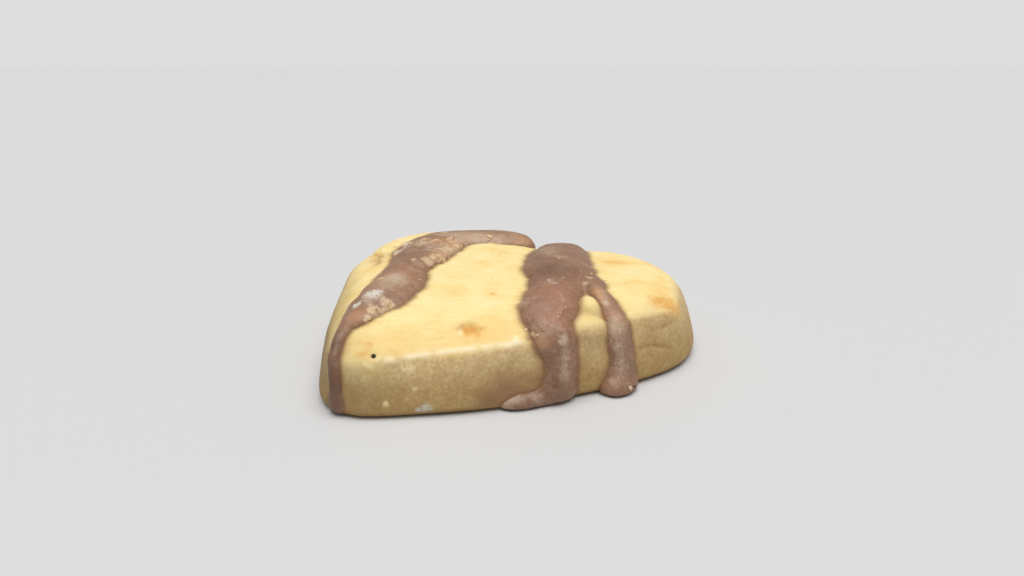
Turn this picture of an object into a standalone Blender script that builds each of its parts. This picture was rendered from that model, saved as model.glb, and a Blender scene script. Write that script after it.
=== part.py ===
"""A thick heart-shaped biscuit with two trails of chocolate icing poured across it.

The biscuit and its icing are one solid, lying on its flat base. The origin is
under the middle of the heart at that base, +Z is up, and the heart's point
faces -Y. All sizes are in metres.
"""

import math

import bmesh
import bpy
from mathutils import Matrix, Vector, noise
from mathutils.bvhtree import BVHTree

MM = 0.001

# Driving dimensions of the heart's outline, as seen from above
WIDTH = 62.6 * MM
LENGTH = 58.6 * MM
LOBE_RADIUS = 17.6 * MM
NOTCH_RADIUS = 4.8 * MM
TIP_RADIUS = 7.6 * MM
RIGHT_SIDE_RADIUS = 74.0 * MM
LEFT_SIDE_RADIUS = 190.0 * MM

# Thickness of the baked dough, and the share by which it thins out towards its ends
MIDDLE_HEIGHT = 13.2 * MM
TIP_THINNING = 0.13
RIGHT_LOBE_THINNING = 0.01
LEFT_LOBE_THINNING = 0.10

# Sections over the rim, from the base up: (distance in from the outline, share of the thickness).
# The wall is low at the heart's point, steep along its sides and rounded at its lobes, where
# the left side turns into its lobe's section sooner than the right side by LEFT_LEAD.
RIM_AT_TIP = (
    (1.5 * MM, 0.00),
    (0.4 * MM, 0.04),
    (0.0 * MM, 0.13),
    (0.3 * MM, 0.36),
    (0.8 * MM, 0.55),
    (1.3 * MM, 0.65),
    (2.9 * MM, 0.76),
    (4.8 * MM, 0.86),
    (6.8 * MM, 0.93),
)
RIM_AT_SIDES = (
    (1.5 * MM, 0.00),
    (0.4 * MM, 0.04),
    (0.0 * MM, 0.13),
    (0.3 * MM, 0.40),
    (0.7 * MM, 0.61),
    (1.2 * MM, 0.72),
    (2.9 * MM, 0.82),
    (4.8 * MM, 0.89),
    (6.8 * MM, 0.93),
)
RIM_AT_LOBES = (
    (1.5 * MM, 0.00),
    (0.4 * MM, 0.04),
    (0.0 * MM, 0.14),
    (0.6 * MM, 0.38),
    (1.4 * MM, 0.57),
    (2.4 * MM, 0.71),
    (3.7 * MM, 0.81),
    (5.2 * MM, 0.88),
    (6.8 * MM, 0.93),
)
TIP_TO_SIDES = (-20.0 * MM, -4.0 * MM)
SIDES_TO_LOBES = (0.0 * MM, 9.0 * MM)
LEFT_LEAD = 0.25
HEART_MIDDLE = Vector((0.0, -1.5 * MM))

# Baked dough is never quite even
OUTLINE_WANDER = 0.45 * MM
SURFACE_WANDER = 0.2 * MM
WANDER_SPACING = 11.0 * MM
WANDER_SEED = 6
EVEN_BELOW = 4.0 * MM

FACE_SIZE = 1.2 * MM
RIM_STEPS = 12
TOP_RINGS = 22
FEWEST_RING_POINTS = 6

# Trails of icing, as the places that each runs over: (x, y, z, half width, thickness) in mm.
# The first runs round the left lobe and down at the heart's point. The second comes over the
# back edge beside the notch, crosses the top and runs down the right side. The third leaves it
# near that side and comes down beside it, so that the bare dough shows between the two.
LOBE_TRAIL = (
    (-4.5, 20.7, 12.0, 3.0, 2.1),
    (-6.5, 20.2, 12.0, 4.2, 1.8),
    (-11.0, 18.2, 12.0, 4.9, 1.5),
    (-14.8, 12.6, 12.2, 5.7, 1.3),
    (-13.2, 5.0, 12.4, 5.8, 1.4),
    (-10.0, -1.0, 12.4, 5.0, 1.5),
    (-7.7, -6.8, 12.3, 3.8, 1.5),
    (-5.0, -11.6, 12.2, 4.5, 1.5),
    (-3.4, -15.8, 11.8, 4.8, 1.5),
    (-3.0, -19.6, 11.2, 4.1, 1.4),
    (-2.6, -22.4, 10.5, 3.2, 1.2),
    (-2.6, -24.4, 9.8, 1.6, 1.0),
    (-1.9, -26.2, 8.9, 1.1, 1.0),
    (-0.9, -27.6, 7.4, 1.1, 0.9),
    (-0.1, -28.7, 5.4, 1.1, 0.8),
    (0.2, -29.1, 3.4, 1.3, 0.8),
    (0.1, -29.2, 1.6, 2.0, 0.7),
)
MAIN_TRAIL = (
    (3.4, 25.0, 6.6, 2.6, 0.9),
    (3.7, 23.4, 10.0, 3.4, 1.3),
    (4.8, 19.4, 12.2, 4.3, 1.4),
    (8.3, 12.4, 12.9, 5.2, 1.6),
    (12.4, 5.8, 13.1, 5.6, 1.6),
    (14.9, 2.6, 13.0, 5.2, 1.5),
    (16.4, -2.0, 12.6, 4.2, 1.4),
    (17.9, -5.6, 12.0, 4.1, 1.4),
    (19.2, -8.2, 10.8, 3.8, 1.3),
    (20.7, -9.2, 9.0, 3.2, 1.3),
    (21.6, -9.0, 6.8, 2.6, 1.3),
    (21.9, -9.2, 4.2, 2.6, 1.3),
    (21.7, -9.6, 1.8, 3.1, 1.3),
)
SIDE_TRAIL = (
    (15.4, 5.4, 13.0, 3.0, 1.1),
    (18.6, 3.6, 12.7, 2.6, 1.2),
    (21.2, 1.6, 12.1, 1.7, 1.1),
    (23.3, 0.4, 11.5, 1.6, 1.0),
    (25.1, -0.6, 10.3, 1.9, 1.1),
    (26.0, -1.0, 8.8, 2.1, 1.1),
    (26.5, -1.2, 6.6, 2.1, 1.1),
    (26.9, -1.3, 4.2, 2.3, 1.1),
    (27.0, -1.5, 1.8, 2.8, 1.1),
)
# Where each trail reaches the bottom it spreads in a foot: (x, y, turn, long, short, high) in mm
TRAIL_FEET = (
    (0.2, -27.8, 6.0, 2.8, 1.4, 1.5),
    (19.7, -12.1, 56.0, 5.4, 1.7, 1.8),
    (27.0, -2.1, 64.0, 3.1, 2.4, 2.1),
)
TRAIL_STATION = 1.5 * MM
TRAIL_POINTS_ACROSS = 8
TRAIL_FLATNESS = 2.5
TRAIL_DEPTH = 1.2 * MM
TRAIL_EDGE_DEPTH = 0.5 * MM
TRAIL_END_ANGLES = (25, 50, 75)
FOOT_SINK = 0.4
FOOT_CLEARANCE = 0.1 * MM
SLIVER = 0.04 * MM
SHARP_ANGLE = 50


def crossing_of_circles(first, first_radius, second, second_radius):
    """The left one of the two points that lie at these distances from both centres."""
    gap = second - first
    along = (first_radius**2 - second_radius**2 + gap.length_squared) / (2 * gap.length)
    across = math.sqrt(first_radius**2 - along**2)
    direction = gap.normalized()
    sideways = Vector((-direction.y, direction.x))
    points = [first + direction * along + sideways * across * turn for turn in (1, -1)]
    return min(points, key=lambda point: point.x)


def angle_of(direction):
    return math.atan2(direction.y, direction.x)


def heart_arcs():
    """The outline as arcs that run smoothly into each other, anticlockwise from the point.

    Each arc is (centre, radius, start angle, end angle).
    """
    lobe = Vector((WIDTH / 2 - LOBE_RADIUS, LENGTH / 2 - LOBE_RADIUS))
    tip = Vector((0.0, TIP_RADIUS - LENGTH / 2))
    reach = LOBE_RADIUS + NOTCH_RADIUS
    notch = Vector((0.0, lobe.y + math.sqrt(reach**2 - lobe.x**2)))
    at_notch = angle_of(notch - lobe)
    sides = []
    for radius in (RIGHT_SIDE_RADIUS, LEFT_SIDE_RADIUS):
        centre = crossing_of_circles(tip, radius - TIP_RADIUS, lobe, radius - LOBE_RADIUS)
        sides.append((centre, radius, angle_of(tip - centre), angle_of(lobe - centre)))
    right, left = sides
    mirrored_centre = Vector((-left[0].x, left[0].y))
    mirrored_lobe = Vector((-lobe.x, lobe.y))
    return (
        (tip, TIP_RADIUS, -math.pi - left[2], right[2]),
        right,
        (lobe, LOBE_RADIUS, right[3], at_notch),
        (notch, NOTCH_RADIUS, at_notch - math.pi, -at_notch),
        (mirrored_lobe, LOBE_RADIUS, math.pi - at_notch, math.pi - left[3]),
        (mirrored_centre, LEFT_SIDE_RADIUS, math.pi - left[3], math.pi - left[2]),
    )


def heart_outline(count):
    """count points evenly round the heart, each with the direction that faces outwards."""
    arcs = heart_arcs()
    lengths = [radius * abs(end - start) for _, radius, start, end in arcs]
    points = []
    for index in range(count):
        distance = sum(lengths) * index / count
        arc = 0
        while distance > lengths[arc]:
            distance -= lengths[arc]
            arc += 1
        centre, radius, start, end = arcs[arc]
        angle = start + (end - start) * distance / lengths[arc]
        spoke = Vector((math.cos(angle), math.sin(angle)))
        outward = spoke if end > start else -spoke
        points.append((centre + spoke * radius, outward))
    return points


def local_height(place):
    """Thickness of the dough at a place seen from above."""
    towards_tip = max(0.0, -place.y / (LENGTH / 2))
    towards_lobes = max(0.0, place.y / (LENGTH / 2))
    rightness = smooth_step(-WIDTH / 4, WIDTH / 4, place.x)
    lobe_thinning = LEFT_LOBE_THINNING + (RIGHT_LOBE_THINNING - LEFT_LOBE_THINNING) * rightness
    thinning = TIP_THINNING * towards_tip**2 + lobe_thinning * towards_lobes**2
    return MIDDLE_HEIGHT * (1 - thinning)


def smooth_step(low, high, value):
    t = min(1.0, max(0.0, (value - low) / (high - low)))
    return t * t * (3 - 2 * t)


def spline_row(rows, span, t):
    """The row at share t of the way from rows[span] to the next, on a Catmull-Rom curve."""
    before = rows[max(span - 1, 0)]
    after = rows[min(span + 2, len(rows) - 1)]
    return [
        0.5
        * (
            2 * p1
            + (p2 - p0) * t
            + (2 * p0 - 5 * p1 + 4 * p2 - p3) * t**2
            + (3 * p1 - p0 - 3 * p2 + p3) * t**3
        )
        for p0, p1, p2, p3 in zip(before, rows[span], rows[span + 1], after)
    ]


def smooth_section(points, steps):
    """steps + 1 points along a smooth curve through the given (inset, share) points."""
    curve = []
    for step in range(steps + 1):
        position = step / steps * (len(points) - 1)
        span = min(int(position), len(points) - 2)
        curve.append(Vector(spline_row(points, span, position - span)))
    return curve


def uneven(point):
    """The point moved a little, as dough spreads and rises unevenly."""
    drift = noise.noise_vector(point / WANDER_SPACING)
    base_share = min(1.0, point.z / EVEN_BELOW)
    return point + Vector(
        (
            drift.x * OUTLINE_WANDER,
            drift.y * OUTLINE_WANDER,
            drift.z * SURFACE_WANDER * base_share,
        )
    )


def rim_rings():
    """Rings of points from the base's edge up over the rim, all with the same count."""
    perimeter = sum(r * abs(end - start) for _, r, start, end in heart_arcs())
    outline = heart_outline(round(perimeter / FACE_SIZE))
    sections = [
        smooth_section(points, RIM_STEPS) for points in (RIM_AT_TIP, RIM_AT_SIDES, RIM_AT_LOBES)
    ]
    rings = []
    for at_tip, at_sides, at_lobes in zip(*sections):
        ring = []
        for place, outward in outline:
            local = at_tip.lerp(at_sides, smooth_step(*TIP_TO_SIDES, place.y))
            lobe_share = smooth_step(*SIDES_TO_LOBES, place.y - LEFT_LEAD * place.x)
            inset, share = local.lerp(at_lobes, lobe_share)
            flat = place - outward * inset
            height = share * local_height(flat)
            ring.append(uneven(Vector((flat.x, flat.y, height))))
        rings.append(ring)
    return rings


def top_rings():
    """Rings that shrink from the rim to the middle of the top, with fewer points each."""
    rim_inset, rim_share = RIM_AT_SIDES[-1]
    perimeter = sum(r * abs(end - start) for _, r, start, end in heart_arcs())
    rings = []
    for step in range(1, TOP_RINGS):
        size = 1 - step / TOP_RINGS
        count = max(FEWEST_RING_POINTS, round(size * perimeter / FACE_SIZE))
        ring = []
        for place, outward in heart_outline(count):
            edge = place - outward * rim_inset
            flat = HEART_MIDDLE + (edge - HEART_MIDDLE) * size
            share = rim_share + (1 - rim_share) * (1 - size**2)
            height = share * local_height(flat)
            ring.append(uneven(Vector((flat.x, flat.y, height))))
        rings.append(ring)
    return rings


def ring_edges(bm, points):
    verts = [bm.verts.new(point) for point in points]
    return [bm.edges.new((verts[i - 1], verts[i])) for i in range(len(verts))]


def biscuit_mesh():
    """The plain biscuit as a closed mesh: a flat base, the rim and the domed top."""
    bm = bmesh.new()
    loops = [ring_edges(bm, ring) for ring in rim_rings() + top_rings()]
    for lower, upper in zip(loops, loops[1:]):
        bmesh.ops.bridge_loops(bm, edges=lower + upper)
    bmesh.ops.contextual_create(bm, geom=loops[0])
    bmesh.ops.contextual_create(bm, geom=loops[-1])
    bmesh.ops.recalc_face_normals(bm, faces=bm.faces)
    return bm


def curve_through(points, spacing):
    """Rows along a smooth curve through the given rows, about spacing apart in space."""
    rows = []
    for span in range(len(points) - 1):
        count = max(1, round(math.dist(points[span][:3], points[span + 1][:3]) / spacing))
        for step in range(count):
            rows.append(spline_row(points, span, step / count))
    rows.append(list(points[-1]))
    return rows


def rounded_ends(rows):
    """The rows with extra ones at both ends, where the trail narrows in a half circle."""
    first, last = rows[0], rows[-1]
    first_way = (Vector(first[:3]) - Vector(rows[1][:3])).normalized()
    last_way = (Vector(last[:3]) - Vector(rows[-2][:3])).normalized()
    head = []
    tail = []
    for angle in TRAIL_END_ANGLES:
        ahead = math.sin(math.radians(angle))
        narrowing = math.cos(math.radians(angle))
        for end, way, extra in ((first, first_way, head), (last, last_way, tail)):
            place = Vector(end[:3]) + way * end[3] * ahead
            extra.append([*place, end[3] * narrowing, end[4] * narrowing])
    return head[::-1] + rows + tail


def trail_mesh(points, dough):
    """A closed body of icing that follows the dough's surface along the given places."""
    bm = bmesh.new()
    rows = rounded_ends(curve_through([[v * MM for v in row] for row in points], TRAIL_STATION))
    places = [Vector(row[:3]) for row in rows]
    loops = []
    for index, row in enumerate(rows):
        centre, normal = dough.find_nearest(places[index])[:2]
        along = places[min(index + 1, len(rows) - 1)] - places[max(index - 1, 0)]
        sideways = normal.cross(along).normalized()
        half_width, thickness = row[3:]
        upper = []
        lower = []
        for step in range(TRAIL_POINTS_ACROSS + 1):
            across = math.sin(math.pi / 2 * (2 * step / TRAIL_POINTS_ACROSS - 1))
            spot = centre + sideways * half_width * across
            surface, outward = dough.find_nearest(spot)[:2]
            fullness = max(0.0, 1 - abs(across) ** TRAIL_FLATNESS) ** (1 / TRAIL_FLATNESS)
            bulge = (thickness + TRAIL_EDGE_DEPTH) * fullness - TRAIL_EDGE_DEPTH
            upper.append(surface + outward * bulge)
            lower.append(surface - outward * TRAIL_DEPTH)
        loops.append(ring_edges(bm, upper + lower[::-1]))
    for before, after in zip(loops, loops[1:]):
        bmesh.ops.bridge_loops(bm, edges=before + after)
    for end in (loops[0], loops[-1]):
        bmesh.ops.contextual_create(bm, geom=end)
    for vert in bm.verts:
        vert.co.z = max(vert.co.z, FOOT_CLEARANCE)
    bmesh.ops.triangulate(bm, faces=bm.faces)
    bmesh.ops.recalc_face_normals(bm, faces=bm.faces)
    return bm


def foot_mesh(x, y, turn, long, short, high):
    """The low mound in which a trail ends on what the biscuit lies on."""
    bm = bmesh.new()
    bmesh.ops.create_icosphere(bm, subdivisions=3, radius=1.0)
    bmesh.ops.scale(bm, verts=bm.verts, vec=(long * MM, short * MM, high * MM))
    bmesh.ops.rotate(bm, verts=bm.verts, matrix=Matrix.Rotation(math.radians(turn), 3, "Z"))
    bmesh.ops.translate(bm, verts=bm.verts, vec=(x * MM, y * MM, FOOT_SINK * high * MM))
    for vert in bm.verts:
        vert.co.z = max(vert.co.z, FOOT_CLEARANCE)
    return bm


def material(name, colour, roughness):
    made = bpy.data.materials.new(name)
    made.use_nodes = True
    shader = made.node_tree.nodes["Principled BSDF"]
    shader.inputs["Base Color"].default_value = (*colour, 1.0)
    shader.inputs["Roughness"].default_value = roughness
    shader.inputs["Metallic"].default_value = 0.0
    return made


def add_object(name, bm, finish):
    mesh = bpy.data.meshes.new(name)
    bm.to_mesh(mesh)
    bm.free()
    mesh.materials.append(finish)
    made = bpy.data.objects.new(name, mesh)
    bpy.context.scene.collection.objects.link(made)
    return made


def join_toppings(base, toppings):
    """Fuse the toppings to the base in one union, and remove them."""
    group = bpy.data.collections.new("toppings")
    bpy.context.scene.collection.children.link(group)
    for topping in toppings:
        bpy.context.scene.collection.objects.unlink(topping)
        group.objects.link(topping)
    union = base.modifiers.new("fuse", "BOOLEAN")
    union.operation = "UNION"
    union.operand_type = "COLLECTION"
    union.collection = group
    union.solver = "EXACT"
    union.material_mode = "TRANSFER"
    evaluated = base.evaluated_get(bpy.context.evaluated_depsgraph_get())
    fused = bpy.data.meshes.new_from_object(evaluated)
    base.modifiers.clear()
    base.data = fused
    for topping in toppings:
        bpy.data.objects.remove(topping)
    bpy.data.collections.remove(group)


def finish_mesh(mesh):
    """Collapse the slivers that the union leaves, and centre the mesh over the origin."""
    bm = bmesh.new()
    bm.from_mesh(mesh)
    bmesh.ops.dissolve_degenerate(bm, edges=bm.edges, dist=SLIVER)
    bmesh.ops.triangulate(bm, faces=bm.faces)
    for axis in (0, 1):
        places = [vert.co[axis] for vert in bm.verts]
        middle = (min(places) + max(places)) / 2
        for vert in bm.verts:
            vert.co[axis] -= middle
    bm.to_mesh(mesh)
    bm.free()
    mesh.shade_smooth()
    mesh.set_sharp_from_angle(angle=math.radians(SHARP_ANGLE))


def build():
    for old in list(bpy.data.objects):
        bpy.data.objects.remove(old)
    noise.seed_set(WANDER_SEED)
    crust = material("shortbread_crust", (0.80, 0.60, 0.30), 0.8)
    icing = material("chocolate_icing", (0.30, 0.17, 0.11), 0.5)
    dough = biscuit_mesh()
    surface = BVHTree.FromBMesh(dough)
    toppings = []
    for number, points in enumerate((LOBE_TRAIL, MAIN_TRAIL, SIDE_TRAIL)):
        toppings.append(add_object(f"trail_{number}", trail_mesh(points, surface), icing))
    for number, foot in enumerate(TRAIL_FEET):
        toppings.append(add_object(f"foot_{number}", foot_mesh(*foot), icing))
    biscuit = add_object("biscuit", dough, crust)
    join_toppings(biscuit, toppings)
    finish_mesh(biscuit.data)


build()
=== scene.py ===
import math
import random

import bmesh
import bpy
import numpy as np
from mathutils import Matrix, Vector, noise
from mathutils.bvhtree import BVHTree


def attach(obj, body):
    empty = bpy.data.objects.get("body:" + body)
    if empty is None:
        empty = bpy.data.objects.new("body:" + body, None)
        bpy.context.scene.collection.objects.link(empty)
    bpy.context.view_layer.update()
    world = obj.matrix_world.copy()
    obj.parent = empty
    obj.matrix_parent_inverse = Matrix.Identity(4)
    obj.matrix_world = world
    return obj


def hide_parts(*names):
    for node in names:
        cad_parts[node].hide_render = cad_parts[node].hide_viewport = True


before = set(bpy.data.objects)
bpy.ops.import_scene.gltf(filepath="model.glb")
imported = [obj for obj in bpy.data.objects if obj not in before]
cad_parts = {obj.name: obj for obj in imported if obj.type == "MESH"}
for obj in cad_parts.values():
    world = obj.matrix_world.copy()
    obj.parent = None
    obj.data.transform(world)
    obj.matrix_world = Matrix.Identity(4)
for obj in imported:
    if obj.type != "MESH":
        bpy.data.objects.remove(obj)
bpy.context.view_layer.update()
print("frame loaded")

mm = 0.001

# The baked heart, in mm: an outline of arcs, three rim sections and a softly domed top.
# These are the sizes of the solid in the frame, which this finer dough stands for.
heart = {
    "width": 62.6,
    "length": 58.6,
    "lobeRadius": 17.6,
    "notchRadius": 4.8,
    "tipRadius": 7.6,
    "rightSideRadius": 74.0,
    "leftSideRadius": 190.0,
    "middleHeight": 13.2,
    "tipThinning": 0.13,
    "rightLobeThinning": 0.01,
    "leftLobeThinning": 0.10,
    "rimAtTip": (  # (inset from the outline, share of the height), from the base up
        (1.5, 0), (0.4, 0.04), (0, 0.13), (0.3, 0.36), (0.8, 0.55),
        (1.3, 0.65), (2.9, 0.76), (4.8, 0.86), (6.8, 0.93),
    ),
    "rimAtSides": (
        (1.5, 0), (0.4, 0.04), (0, 0.13), (0.3, 0.40), (0.7, 0.61),
        (1.2, 0.72), (2.9, 0.82), (4.8, 0.89), (6.8, 0.93),
    ),
    "rimAtLobes": (
        (1.5, 0), (0.4, 0.04), (0, 0.14), (0.6, 0.38), (1.4, 0.57),
        (2.4, 0.71), (3.7, 0.81), (5.2, 0.88), (6.8, 0.93),
    ),
    "tipToSides": (-20.0, -4.0),  # where along the heart one section turns into the next
    "sidesToLobes": (0.0, 9.0),
    "leftLead": 0.25,
    "middle": Vector((0.0, -1.5)),
    "outlineWander": 0.45,
    "surfaceWander": 0.2,
    "wanderSpacing": 11.0,
    "wanderSeed": 6,
    "evenBelow": 4.0,
    "centring": Vector((-0.03, 0.311, 0.0)),  # what puts the box's middle over the origin
    "pointSpacing": 0.8,
    "rimSteps": 44,
    "topRings": 40,
    "baseRings": 12,
    "fewestPoints": 6,
    "voxel": 0.34,  # fine enough for the crumb that shows from a step away
    "skinRounds": 2,  # how often a new skin is smoothed
    "fewestVerts": 1000,  # a scrap of skin with fewer has come loose
}


def smoothStep(low, high, value):
    t = min(1.0, max(0.0, (value - low) / (high - low)))
    return t * t * (3 - 2 * t)


def softStep(low, high, values):  # the same for an array
    t = np.clip((values - low) / (high - low), 0, 1)
    return t * t * (3 - 2 * t)


def angleOf(direction):
    return math.atan2(direction.y, direction.x)


def leftCrossing(first, firstRadius, second, secondRadius):
    gap = second - first
    along = (firstRadius**2 - secondRadius**2 + gap.length_squared) / (2 * gap.length)
    across = math.sqrt(firstRadius**2 - along**2)
    way = gap.normalized()
    sideways = Vector((-way.y, way.x))
    return min((first + way * along + sideways * across * turn for turn in (1, -1)), key=lambda p: p.x)


def heartArcs():  # (centre, radius, start angle, end angle), anticlockwise from the point
    lobe = Vector((heart["width"] / 2 - heart["lobeRadius"], heart["length"] / 2 - heart["lobeRadius"]))
    tip = Vector((0.0, heart["tipRadius"] - heart["length"] / 2))
    reach = heart["lobeRadius"] + heart["notchRadius"]
    notch = Vector((0.0, lobe.y + math.sqrt(reach**2 - lobe.x**2)))
    atNotch = angleOf(notch - lobe)
    sides = []
    for radius in (heart["rightSideRadius"], heart["leftSideRadius"]):
        centre = leftCrossing(tip, radius - heart["tipRadius"], lobe, radius - heart["lobeRadius"])
        sides.append((centre, radius, angleOf(tip - centre), angleOf(lobe - centre)))
    right, left = sides
    return (
        (tip, heart["tipRadius"], -math.pi - left[2], right[2]),
        right,
        (lobe, heart["lobeRadius"], right[3], atNotch),
        (notch, heart["notchRadius"], atNotch - math.pi, -atNotch),
        (Vector((-lobe.x, lobe.y)), heart["lobeRadius"], math.pi - atNotch, math.pi - left[3]),
        (Vector((-left[0].x, left[0].y)), heart["leftSideRadius"], math.pi - left[3], math.pi - left[2]),
    )


arcs = heartArcs()
arcLengths = [radius * abs(end - start) for _, radius, start, end in arcs]
perimeter = sum(arcLengths)


def outline(count):  # points evenly round the heart, each with the way that faces out
    points = []
    for index in range(count):
        distance = perimeter * index / count
        arc = 0
        while distance > arcLengths[arc]:
            distance -= arcLengths[arc]
            arc += 1
        centre, radius, start, end = arcs[arc]
        angle = start + (end - start) * distance / arcLengths[arc]
        spoke = Vector((math.cos(angle), math.sin(angle)))
        points.append((centre + spoke * radius, spoke if end > start else -spoke))
    return points


def localHeight(place):
    half = heart["length"] / 2
    rightness = smoothStep(-heart["width"] / 4, heart["width"] / 4, place.x)
    lobe = heart["leftLobeThinning"] + (heart["rightLobeThinning"] - heart["leftLobeThinning"]) * rightness
    thinning = heart["tipThinning"] * max(0.0, -place.y / half) ** 2 + lobe * max(0.0, place.y / half) ** 2
    return heart["middleHeight"] * (1 - thinning)


def splineRow(rows, span, t):  # Catmull-Rom between rows[span] and the next
    quads = zip(rows[max(span - 1, 0)], rows[span], rows[span + 1], rows[min(span + 2, len(rows) - 1)])
    return [
        0.5 * (2 * b + (c - a) * t + (2 * a - 5 * b + 4 * c - d) * t**2 + (3 * b - a - 3 * c + d) * t**3)
        for a, b, c, d in quads
    ]


def smoothSection(points, steps):
    curve = []
    for step in range(steps + 1):
        position = step / steps * (len(points) - 1)
        span = min(int(position), len(points) - 2)
        curve.append(Vector(splineRow(points, span, position - span)))
    return curve


def wander(point):  # dough spreads and rises a little unevenly, and the icing follows it
    drift = noise.noise_vector(point * mm / (heart["wanderSpacing"] * mm))
    lift = drift.z * heart["surfaceWander"] * min(1.0, point.z / heart["evenBelow"])
    return point + Vector((drift.x * heart["outlineWander"], drift.y * heart["outlineWander"], lift))


def ringEdges(bm, points):
    verts = [bm.verts.new(point) for point in points]
    return [bm.edges.new((verts[i - 1], verts[i])) for i in range(len(verts))]


def shrunkRing(size, inset, height):  # a ring scaled towards the middle of the heart
    count = max(heart["fewestPoints"], round(size * perimeter / heart["pointSpacing"]))
    ring = []
    for place, outward in outline(count):
        flat = heart["middle"] + (place - outward * inset - heart["middle"]) * size
        ring.append(wander(Vector((flat.x, flat.y, height * localHeight(flat)))))
    return ring


def doughRings():
    rings = []
    baseInset = heart["rimAtSides"][0][0]
    for step in range(heart["baseRings"] - 1, 0, -1):
        rings.append(shrunkRing(1 - step / heart["baseRings"], baseInset, 0.0))
    sections = [smoothSection(heart[name], heart["rimSteps"]) for name in ("rimAtTip", "rimAtSides", "rimAtLobes")]
    places = outline(round(perimeter / heart["pointSpacing"]))
    for atTip, atSides, atLobes in zip(*sections):
        ring = []
        for place, outward in places:
            local = atTip.lerp(atSides, smoothStep(*heart["tipToSides"], place.y))
            lobeShare = smoothStep(*heart["sidesToLobes"], place.y - heart["leftLead"] * place.x)
            inset, share = local.lerp(atLobes, lobeShare)
            flat = place - outward * inset
            ring.append(wander(Vector((flat.x, flat.y, share * localHeight(flat)))))
        rings.append(ring)
    rimInset, rimShare = heart["rimAtSides"][-1]
    for step in range(1, heart["topRings"]):
        size = 1 - step / heart["topRings"]
        rings.append(shrunkRing(size, rimInset, rimShare + (1 - rimShare) * (1 - size**2)))
    return rings


def plainDough():
    bm = bmesh.new()
    loops = [ringEdges(bm, ring) for ring in doughRings()]
    for lower, upper in zip(loops, loops[1:]):
        bmesh.ops.bridge_loops(bm, edges=lower + upper)
    bmesh.ops.contextual_create(bm, geom=loops[0])
    bmesh.ops.contextual_create(bm, geom=loops[-1])
    bmesh.ops.recalc_face_normals(bm, faces=bm.faces)
    return bm


def objectFrom(name, bm):
    mesh = bpy.data.meshes.new(name)
    bm.to_mesh(mesh)
    bm.free()
    made = bpy.data.objects.new(name, mesh)
    bpy.context.scene.collection.objects.link(made)
    return made


def dropStrays(bm):  # whatever came loose from the main skin in the remesh
    seen, strays = set(), []
    for start in bm.verts:
        if start in seen:
            continue
        seen.add(start)
        group, front = [], [start]
        while front:
            vert = front.pop()
            group.append(vert)
            fresh = [other for edge in vert.link_edges if (other := edge.other_vert(vert)) not in seen]
            seen.update(fresh)
            front += fresh
        if len(group) < heart["fewestVerts"]:
            strays += group
    bmesh.ops.delete(bm, geom=strays, context="VERTS")


def smoothed(bm, verts, rounds):
    for _ in range(rounds):
        bmesh.ops.smooth_vert(bm, verts=verts, factor=0.5, use_axis_x=True, use_axis_y=True, use_axis_z=True)


def remeshed(name, bm, voxel):  # one even skin over everything in bm, smoothed a little
    rough = objectFrom(name + "_rough", bm)
    skin = rough.modifiers.new("skin", "REMESH")
    skin.mode = "VOXEL"
    skin.voxel_size = voxel
    evaluated = rough.evaluated_get(bpy.context.evaluated_depsgraph_get())
    mesh = bpy.data.meshes.new_from_object(evaluated)
    bpy.data.objects.remove(rough)
    fine = bmesh.new()
    fine.from_mesh(mesh)
    bpy.data.meshes.remove(mesh)
    dropStrays(fine)
    smoothed(fine, fine.verts, heart["skinRounds"])
    fine.normal_update()
    return fine


lumps = {"noiseScale": 1.3, "shiftPerVert": 0.37}  # the shift makes each lump another one


def lump(bm, place, size, turn, rough, facets):  # an uneven bit of dough, icing or crumb
    made = bmesh.ops.create_icosphere(bm, subdivisions=facets, radius=1.0)["verts"]
    shift = Vector((len(bm.verts) * lumps["shiftPerVert"], 0, 0))
    for vert in made:
        vert.co *= 1 + rough * noise.noise(vert.co * lumps["noiseScale"] + place + shift)
    bmesh.ops.scale(bm, verts=made, vec=size)
    bmesh.ops.rotate(bm, verts=made, matrix=Matrix.Rotation(turn, 3, "Z"))
    bmesh.ops.translate(bm, verts=made, vec=place)
    return made


def arrayOf(bm):
    places = np.array([vert.co for vert in bm.verts])
    normals = np.array([vert.normal for vert in bm.verts])
    return places, normals


def noiseOver(places, size, shift=0.0):  # -1 to 1, in lumps of about that size in mm; each shift is another pattern
    scaled = places / size + shift
    return np.array([noise.noise(Vector(row)) for row in scaled])


def setPlaces(bm, places):
    for vert, place in zip(bm.verts, places):
        vert.co = place
    bm.normal_update()


def paint(mesh, name, values):
    layer = mesh.attributes.new(name, "FLOAT", "POINT")
    layer.data.foreach_set("value", np.asarray(values, dtype=np.float32))


# The camera looks along this way in plan; marks on the dough are placed across and along it. Lengths are in mm.
camera = {
    "target": Vector((-2.60, 14.62, 4.99)),
    "azimuth": math.radians(34.8),
    "elevation": math.radians(18.36),
    "distance": 124.4,
    "focalPixels": 695.3,
    "imageWidth": 1024,
    "sensor": 36.0,
    "nearest": 5.0,
}
acrossView = np.array((math.cos(camera["azimuth"]), math.sin(camera["azimuth"])))
alongView = np.array((-math.sin(camera["azimuth"]), math.cos(camera["azimuth"])))


def spots(places, marks):  # soft ovals: (x, y, z, across, along, strength)
    total = np.zeros(len(places))
    for x, y, z, across, along, strength in marks:
        away = places[:, :2] - (x, y)
        u = away @ acrossView / across
        v = away @ alongView / along
        w = (places[:, 2] - z) / max(across, along)
        total += strength * np.exp(-(u**2 + v**2 + w**2))
    return total


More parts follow.
